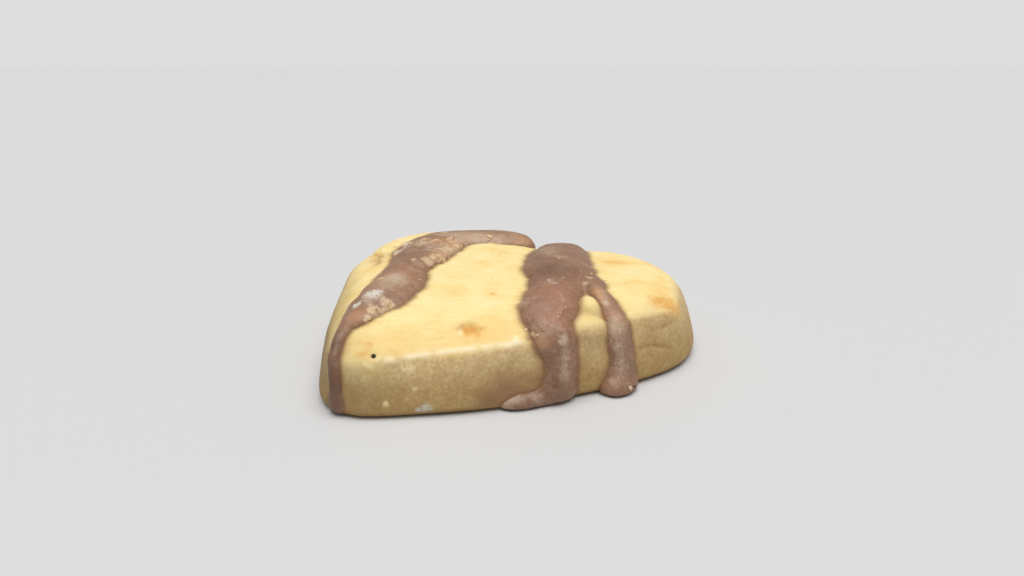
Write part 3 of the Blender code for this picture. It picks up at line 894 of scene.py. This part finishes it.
crumbs = {
    "single": (  # (x, y, z, size)
        (-8.4, 15.9, 13.5, 1.1),
        (-8.0, 15.2, 13.5, 0.6),
        (-10.0, 15.1, 13.6, 0.6),
        (-5.9, -2.6, 14.2, 0.45),
        (0.3, -22.6, 11.3, 0.5),
        (-0.3, -22.8, 11.7, 0.35),
        (-1.4, -10.6, 13.4, 0.4),
        (11.5, 7.1, 14.6, 0.45),
        (3.4, 13.3, 13.6, 0.4),
        (16.5, 0.1, 14.1, 0.35),
        (20.6, -8.2, 11.5, 0.4),
        (20.5, -6.1, 12.2, 0.28),
        (17.7, -11.3, 10.2, 0.4),
        (19.5, -11.6, 9.9, 0.42),
        (18.4, -11.9, 9.4, 0.3),
        (18.4, -10.2, 10.8, 0.3),
        (29.3, -2.6, 1.3, 0.7),
        (23.7, -0.6, 12.1, 0.3),
    ),
    "scattered": (  # (x, y, z, reach, how many, size)
        (18.2, 4.6, 13.8, 1.2, 12, 0.28),
        (-12.5, 2.0, 13.8, 3.4, 24, 0.3),
        (-9.5, 9.0, 13.6, 3.0, 16, 0.28),
        (-2.2, -19.6, 12.9, 2.2, 16, 0.24),
        (10.0, 8.0, 14.4, 4.5, 20, 0.16),
        (16.0, -2.4, 14.0, 1.6, 8, 0.18),
        (20.5, -7.2, 12.0, 1.0, 8, 0.18),
        (25.8, -1.6, 9.6, 1.6, 12, 0.16),
        (27.4, -2.3, 4.5, 1.8, 8, 0.15),
    ),
    "sizeRange": (0.6, 1.4),
    "slimness": (0.5, 0.9),
    "flatness": 0.5,
    "roughness": 0.8,
    "rise": 0.02,
    "seed": 14,
}


def nearestSkin(trees, aim):  # the nearest place on the dough or the icing, and the way out of it
    return min((tree.find_nearest(aim) for tree in trees), key=lambda found: found[3])[:2]


def makeCrumbs(trees):
    random.seed(crumbs["seed"])
    wanted = [(Vector(row[:3]), row[3], 2) for row in crumbs["single"]]
    for x, y, z, reach, count, size in crumbs["scattered"]:
        for _ in range(count):
            shift = Vector([random.gauss(0, reach / 2) for _ in range(3)])
            wanted.append((Vector((x, y, z)) + shift, size * random.uniform(*crumbs["sizeRange"]), 1))
    bm = bmesh.new()
    for aim, size, facets in wanted:
        hit, outward = nearestSkin(trees, aim)
        half = size / 2
        shape = (half, half * random.uniform(*crumbs["slimness"]), half * crumbs["flatness"])
        made = lump(bm, Vector(), shape, random.uniform(0, math.tau), crumbs["roughness"], facets)
        turn = outward.to_track_quat("Z", "Y").to_matrix()
        bmesh.ops.rotate(bm, verts=made, matrix=turn)
        bmesh.ops.translate(bm, verts=made, vec=hit + outward * size * crumbs["rise"])
    print("crumbs:", len(wanted))
    return bm


specks = {  # rows are (x, y, z, long, short, high)
    "roughness": 0.4,
    "facets": 2,
    "charred": (
        (4.1, -25.9, 8.25, 0.34, 0.3, 0.26),
        (29.6, -1.7, 1.3, 0.2, 0.2, 0.2),
    ),
    "bran": (
        (-1.3, 7.0, 13.05, 0.13, 0.13, 0.06),
        (-0.3, 7.8, 13.05, 0.1, 0.12, 0.06),
        (0.8, -6.3, 13.05, 0.12, 0.1, 0.06),
        (6.1, -3.1, 13.0, 0.11, 0.11, 0.06),
        (29.3, 6.8, 8.8, 0.16, 0.14, 0.14),
    ),
}


def makeSpecks(rows, trees):
    bm = bmesh.new()
    for x, y, z, *size in rows:
        hit = nearestSkin(trees, (x, y, z))[0]
        lump(bm, hit, size, x, specks["roughness"], specks["facets"])
    return bm


def colour(code):  # sRGB hex to linear
    parts = [int(code[i : i + 2], 16) / 255 for i in (1, 3, 5)]
    return [*(v / 12.92 if v <= 0.04045 else ((v + 0.055) / 1.055) ** 2.4 for v in parts), 1.0]


def perSize(size):  # a pattern's scale for a real size in mm
    return 1 / (size * mm)


def addNode(tree, kind, settings):  # a setting is a value, a colour's code or a socket to link from
    made = tree.nodes.new(kind)
    for name, value in settings.items():
        if isinstance(value, bpy.types.NodeSocket):
            tree.links.new(value, made.inputs[name])
        elif name == "stops":
            ramp = made.color_ramp.elements
            while len(ramp) < len(value):
                ramp.new(0.5)
            for stop, (position, code) in zip(ramp, value):
                stop.position = position
                stop.color = colour(code)
        elif isinstance(name, int) or name in made.inputs:
            made.inputs[name].default_value = colour(value) if isinstance(value, str) else value
        else:
            setattr(made, name, value)
    return made


def emptyTree(owner):  # the nodes of a new material or world
    owner.use_nodes = True
    owner.node_tree.nodes.clear()
    return owner.node_tree


mixSockets = {"share": 0, "under": 6, "over": 7, "result": 2}  # the Mix node's numbers for its colours


def coated(tree, base, coats, sources):  # colours laid over one another: (where or how much, colour, blend)
    for where, tone, blend in coats:
        settings = {"data_type": "RGBA", "blend_type": blend, mixSockets["under"]: base}
        settings[mixSockets["share"]] = sources.get(where, where)
        settings[mixSockets["over"]] = sources.get(tone, tone)
        base = addNode(tree, "ShaderNodeMix", settings).outputs[mixSockets["result"]]
    return base


raggedFrom = 0.2  # a painted mark starts to show where it is this strong


def makeMaterial(finish):
    made = bpy.data.materials.new(finish["name"])
    tree = emptyTree(made)
    here = addNode(tree, "ShaderNodeTexCoord", {}).outputs["Object"]
    sources = {}
    for name, (size, detail, roughness, squeeze) in finish["grains"].items():
        where = here
        if squeeze != 1:
            turning = {"Rotation": (0, 0, -camera["azimuth"]), "Vector": here}
            turned = addNode(tree, "ShaderNodeMapping", turning).outputs["Vector"]
            where = addNode(tree, "ShaderNodeMapping", {"Scale": (squeeze, 1, 1), "Vector": turned}).outputs["Vector"]
        settings = {"Scale": perSize(size), "Detail": detail, "Roughness": roughness, "Vector": where}
        sources[name] = addNode(tree, "ShaderNodeTexNoise", settings).outputs["Fac"]
    for name in finish.get("marks", ()):
        sources[name] = addNode(tree, "ShaderNodeAttribute", {"attribute_name": name}).outputs["Fac"]
    for name, (source, *stops) in finish["tones"].items():
        sources[name] = addNode(tree, "ShaderNodeValToRGB", {"stops": stops, "Fac": sources[source]}).outputs["Color"]
    for name, (share, tone) in finish.get("mottled", {}).items():
        sources[name] = coated(tree, sources[name], [(share, tone, "MULTIPLY")], sources)
    for name, (source, *limits) in finish.get("ranges", {}).items():
        settings = dict(zip(("From Min", "From Max", "To Min", "To Max"), limits))
        settings["Value"] = sources[source]
        sources[name] = addNode(tree, "ShaderNodeMapRange", settings).outputs["Result"]
    for name, (grain, spread, full, strength) in finish.get("ragged", {}).items():
        settings = {"operation": "MULTIPLY_ADD", 0: sources[grain], 1: spread, 2: 1 - spread / 2}
        uneven = addNode(tree, "ShaderNodeMath", settings).outputs[0]
        settings = {"operation": "MULTIPLY", 0: uneven, 1: sources[name]}
        broken = addNode(tree, "ShaderNodeMath", settings).outputs[0]
        settings = {"From Min": raggedFrom, "From Max": full, "To Max": strength, "Value": broken}
        sources[name] = addNode(tree, "ShaderNodeMapRange", settings).outputs["Result"]
    base = coated(tree, sources[finish["ground"]], finish.get("coats", ()), sources)
    strength, distance = finish["bump"]
    settings = {"Strength": strength, "Distance": distance * mm, "Height": sources["relief"]}
    bump = addNode(tree, "ShaderNodeBump", settings).outputs["Normal"]
    roughness = sources.get(finish["roughness"], finish["roughness"])
    settings = {"Base Color": base, "Roughness": roughness, "IOR": finish["ior"], "Normal": bump}
    shader = addNode(tree, "ShaderNodeBsdfPrincipled", settings)
    addNode(tree, "ShaderNodeOutputMaterial", {"Surface": shader.outputs["BSDF"]})
    return made


# Baked shortbread: pale butter-yellow crumb, dry and matt, browner and grainier on the wall that met the hot air, and
# darker there with painted shade
shortbread = {
    "name": "bakedShortbread",
    "grains": {  # (size in mm, detail, roughness, squeeze across the view)
        "broad": (6.0, 4.0, 0.6, 1),
        "grain": (0.5, 4.0, 0.7, 1),
        "streak": (0.5, 3.0, 0.6, 0.22),
        "blotch": (2.4, 3.0, 0.6, 1),
        "relief": (0.3, 3.0, 0.65, 1),
    },
    "marks": ("wall", "low", "warm", "toast", "shade", "pale", "cream", "sugar", "stain", "veil", "under"),
    "tones": {  # (grain or mark, then its colours from low to high)
        "topTone": ("broad", (0.32, "#F3D48B"), (0.5, "#F9E2A1"), (0.68, "#FCE8AD")),
        "streakTone": ("streak", (0.3, "#F3E0B4"), (0.6, "#FFFFFF")),
        # the wall's colours: oven browning and painted shade, darker than the top
        "wallTone": ("grain", (0.3, "#C4A576"), (0.5, "#D5B886"), (0.7, "#E3C997")),
        "blotchTone": ("blotch", (0.36, "#DED2B8"), (0.58, "#FFFFFF")),
        "toastTone": ("toast", (0.0, "#F8D283"), (1.0, "#DB9A48")),
    },
    "mottled": {"topTone": (0.35, "streakTone"), "wallTone": (0.45, "blotchTone")},
    "ragged": {  # mark: (grain that breaks up its edge, how much, where it is full, strength)
        "toast": ("grain", 2.4, 0.7, 1.0),
        "pale": ("grain", 2.0, 0.9, 1.0),
        "sugar": ("grain", 2.4, 0.7, 1.0),
    },
    "ground": "topTone",
    "coats": (
        ("wall", "wallTone", "MIX"),
        # painted shade, darker towards the base
        ("low", "#E0D7C4", "MULTIPLY"),
        ("warm", "#F6D084", "MIX"),
        ("toast", "toastTone", "MIX"),
        # painted shade, with some browning, on the wall and its rim
        ("shade", "#7E6C48", "MIX"),
        ("pale", "#EBD5A2", "MIX"),
        # pale torn crumb, and painted highlights on the crest and the rim's nodules
        ("cream", "#FDEDC4", "MIX"),
        ("sugar", "#CFCEC2", "MIX"),
        # soaked-in stains, and painted shade in the cracks and hollows
        ("stain", "#A8814C", "MIX"),
        ("veil", "#8F684C", "MIX"),
        ("under", "#A0804E", "MIX"),
    ),
    "bump": (0.6, 0.06),  # (strength, height in mm)
    "roughness": 0.78,
    "ior": 1.45,
}
# Set milk-chocolate icing: poured, so its skin is smooth but lumpy, with a dusty pale bloom, painted sheen down its
# drips and thin toffee edges
milkChocolate = {
    "name": "setMilkChocolateIcing",
    "grains": {
        "broad": (4.0, 4.0, 0.6, 1),
        "fine": (0.6, 5.0, 0.75, 1),
        "relief": (0.35, 3.0, 0.5, 1),
    },
    "marks": ("cover", "rosy", "toffee", "bloom", "crust", "flakes", "deep"),
    "tones": {
        "bodyTone": ("broad", (0.35, "#866048"), (0.65, "#987257")),
        "edgeTone": ("cover", (0.0, "#94704B"), (0.5, "#906A4E"), (1.0, "#926C50")),
    },
    "ranges": {  # (grain or mark, from its low to its high, to this low and this high)
        "thin": ("cover", 0.2, 1.0, 1.0, 0.0),
        "mottle": ("fine", 0.42, 0.66, 0.0, 0.4),
        "specks": ("fine", 0.68, 0.76, 0.0, 0.7),
        "dull": ("fine", 0.3, 0.7, 0.38, 0.62),
    },
    "ragged": {
        "bloom": ("fine", 3.0, 0.95, 0.55),
        "crust": ("fine", 4.0, 0.7, 1.0),
        "flakes": ("relief", 2.6, 0.7, 1.0),
    },
    "ground": "bodyTone",
    "coats": (
        ("rosy", "#A56D52", "MIX"),
        ("toffee", "#C8976A", "MIX"),
        ("thin", "edgeTone", "MIX"),
        ("mottle", "#B39680", "MIX"),
        # pale bloom, and painted sheen down the drips
        ("bloom", "#D2BFA8", "MIX"),
        ("crust", "#D2B58E", "MIX"),
        # white flakes, and painted highlights on thin ridges
        ("flakes", "#DAD2C4", "MIX"),
        ("specks", "#DCC8AE", "MIX"),
        # painted shade down the walls and by the feet, and darker icing
        ("deep", "#5A3C29", "MIX"),
    ),
    "bump": (0.7, 0.08),
    "roughness": "dull",
    "ior": 1.46,
}


# Dry broken bits: crumbs that are pale inside, charred ones almost black, and brown wheat bran
def crumbFinish(name, darker, lighter):
    return {
        "name": name,
        "grains": {"broad": (0.8, 2.0, 0.5, 1), "relief": (0.2, 2.0, 0.5, 1)},
        "tones": {"crumbTone": ("broad", (0.35, darker), (0.65, lighter))},
        "ground": "crumbTone",
        "bump": (0.5, 0.04),
        "roughness": 0.8,
        "ior": 1.45,
    }


def doughMarks(data, places, nearIcing):  # what the shortbread shows, point by point
    crumb = data["crumb"]
    ragged = 1 + dough["raggedness"] * crumb
    away = nearIcing * ragged
    soaked = dough["crackShade"] * data["crack"] + spots(places, dough["stainAndShadeSpots"])
    stain = dough["stainStrength"] * (1 - softStep(0.0, dough["stainReach"], away)) + soaked * (1 + crumb)
    veil = dough["veilStrength"] * (1 - softStep(0.0, dough["veilReach"], away)) + spots(places, dough["veil"])
    cream = dough["crestCreamAndHighlight"] * data["crest"] + spots(places, dough["cream"]) * (1 + crumb)
    return {
        "wall": data["wall"] * (1 - np.clip(spots(places, dough["softRim"]), 0, 1)),
        "under": data["under"],
        "low": data["low"],
        "toast": np.clip(spots(places, dough["toast"]) * ragged, 0, 1),
        "warm": np.clip(spots(places, dough["warm"]), 0, 1) * (1 - data["wall"]),
        "pale": np.clip(spots(places, dough["pale"]) * (1 + crumb), 0, 1),
        "cream": np.clip(cream, 0, 1),
        "sugar": np.clip(spots(places, dough["sugar"]), 0, 1),
        "shade": np.clip(spots(places, dough["shade"]) * data["rim"], 0, 1),
        "stain": np.clip(stain, 0, 1),
        "veil": np.clip(veil, 0, dough["mostVeil"]),
    }


def icingMarks(data, places, normals, aboveDough):
    facingUp = softStep(*icing["dustSlope"], normals[:, 2])
    patches = softStep(*icing["dustPatches"], noiseOver(places, icing["dustSize"], shift=31.0))
    dusting = icing["dusting"] * patches * facingUp
    bloom = dusting + spots(places, icing["bloom"]) + icing["roughBloom"] * data["rough"]
    thickness = aboveDough + icing["coverWander"] * noiseOver(places, icing["coverWanderSize"], shift=3.0)
    marks = {
        "cover": softStep(0.0, icing["coverDepth"], thickness),
        "bloom": np.clip(bloom, 0, icing["mostBloom"]),
        "crust": np.clip(data["crust"] + icing["roughCrust"] * data["rough"], 0, 1),
    }
    for name in ("toffee", "rosy", "deep", "flakes"):
        marks[name] = np.clip(spots(places, icing[name]), 0, 1)
    return marks


def place(bm):  # from the design's mm to the frame's metres
    bmesh.ops.translate(bm, verts=bm.verts, vec=heart["centring"])
    bmesh.ops.scale(bm, verts=bm.verts, vec=(mm, mm, mm))


noise.seed_set(heart["wanderSeed"])
plain = plainDough()
surface = BVHTree.FromBMesh(plain)
print("plain dough made")
doughMesh, doughData = makeDough(plain, surface)
icingMesh, icingData = makeIcing(surface)

doughPlaces, _ = arrayOf(doughMesh)
icingPlaces, icingNormals = arrayOf(icingMesh)
icingTree = BVHTree.FromBMesh(icingMesh)
doughTree = BVHTree.FromBMesh(doughMesh)
farthest = 3.0  # in mm; what is farther from the icing isn't touched by it
nearIcing = np.array([icingTree.find_nearest(Vector(p), farthest)[3] or farthest for p in doughPlaces])
aboveDough = []
for p in icingPlaces:
    hit, outward = doughTree.find_nearest(Vector(p))[:2]
    aboveDough.append((Vector(p) - hit).dot(outward))
aboveDough = np.array(aboveDough)
crumbMesh = makeCrumbs((icingTree, doughTree))
charMesh = makeSpecks(specks["charred"], (icingTree, doughTree))
branMesh = makeSpecks(specks["bran"], (icingTree, doughTree))

finished = {}
for name, bm, finish, slot in (
    ("dough", doughMesh, shortbread, "biscuit"),
    ("icing", icingMesh, milkChocolate, "icing"),
    ("crumbs", crumbMesh, crumbFinish("shortbreadCrumbs", "#D2B08A", "#F1E1C0"), "biscuit"),
    ("charredSpecks", charMesh, crumbFinish("charredCrumbs", "#2E2A1E", "#5A5138"), "biscuit"),
    ("branSpecks", branMesh, crumbFinish("wheatBran", "#AE8C54", "#C6A56C"), "biscuit"),
):
    place(bm)
    made = finished[name] = objectFrom(name, bm)
    made.data.materials.append(makeMaterial(finish))
    made.data.shade_smooth()
    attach(made, "root")
    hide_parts("biscuit")

for piece, marks in (
    ("dough", doughMarks(doughData, doughPlaces, nearIcing)),
    ("icing", icingMarks(icingData, icingPlaces, icingNormals, aboveDough)),
):
    for name, values in marks.items():
        paint(finished[piece].data, name, values)
print("pieces placed")


studio = {
    "floorSize": 4.0,
    "floorSides": 96,
    "floorColour": "#D2D2D2",
    "floorRoughness": 0.9,
    "sky": ((0.0, "#DDDDDD"), (0.1, "#DDDDDD"), (0.3, "#6C6C6C"), (1.0, "#B8B8B8")),  # from level to overhead
    "skyStrength": 1.0,
    "sunStrength": 2.45,
    "sunSpread": math.radians(55),
    "sunTilt": (math.radians(6), math.radians(8), 0),
}
floorMesh = bmesh.new()
bmesh.ops.create_circle(floorMesh, cap_ends=True, segments=studio["floorSides"], radius=studio["floorSize"])
floor = objectFrom("floor", floorMesh)
floorFinish = bpy.data.materials.new("palePaperSweep")
tree = emptyTree(floorFinish)
settings = {"Base Color": studio["floorColour"], "Roughness": studio["floorRoughness"]}
shader = addNode(tree, "ShaderNodeBsdfPrincipled", settings)
addNode(tree, "ShaderNodeOutputMaterial", {"Surface": shader.outputs["BSDF"]})
floor.data.materials.append(floorFinish)

world = bpy.data.worlds.new("studio")
tree = emptyTree(world)
way = addNode(tree, "ShaderNodeTexCoord", {}).outputs["Generated"]
height = addNode(tree, "ShaderNodeSeparateXYZ", {"Vector": way}).outputs["Z"]
sky = addNode(tree, "ShaderNodeValToRGB", {"stops": studio["sky"], "Fac": height}).outputs["Color"]
background = addNode(tree, "ShaderNodeBackground", {"Strength": studio["skyStrength"], "Color": sky})
addNode(tree, "ShaderNodeOutputWorld", {"Surface": background.outputs["Background"]})
bpy.context.scene.world = world

sun = bpy.data.lights.new("softbox", "SUN")
sun.energy = studio["sunStrength"]
sun.angle = studio["sunSpread"]
sunObject = bpy.data.objects.new("softbox", sun)
sunObject.rotation_euler = studio["sunTilt"]
bpy.context.scene.collection.objects.link(sunObject)

flatReach = math.cos(camera["elevation"])
back = Vector(
    (
        math.sin(camera["azimuth"]) * flatReach,
        -math.cos(camera["azimuth"]) * flatReach,
        math.sin(camera["elevation"]),
    )
)
lens = bpy.data.cameras.new("camera")
lens.sensor_width = camera["sensor"]
lens.lens = camera["focalPixels"] * camera["sensor"] / camera["imageWidth"]
lens.clip_start = camera["nearest"] * mm
viewer = bpy.data.objects.new("camera", lens)
bpy.context.scene.collection.objects.link(viewer)
viewer.location = (camera["target"] + heart["centring"] + back * camera["distance"]) * mm
viewer.rotation_euler = back.to_track_quat("Z", "Y").to_euler()
bpy.context.scene.camera = viewer
bpy.context.scene.view_settings.view_transform = "Standard"
print("studio ready")
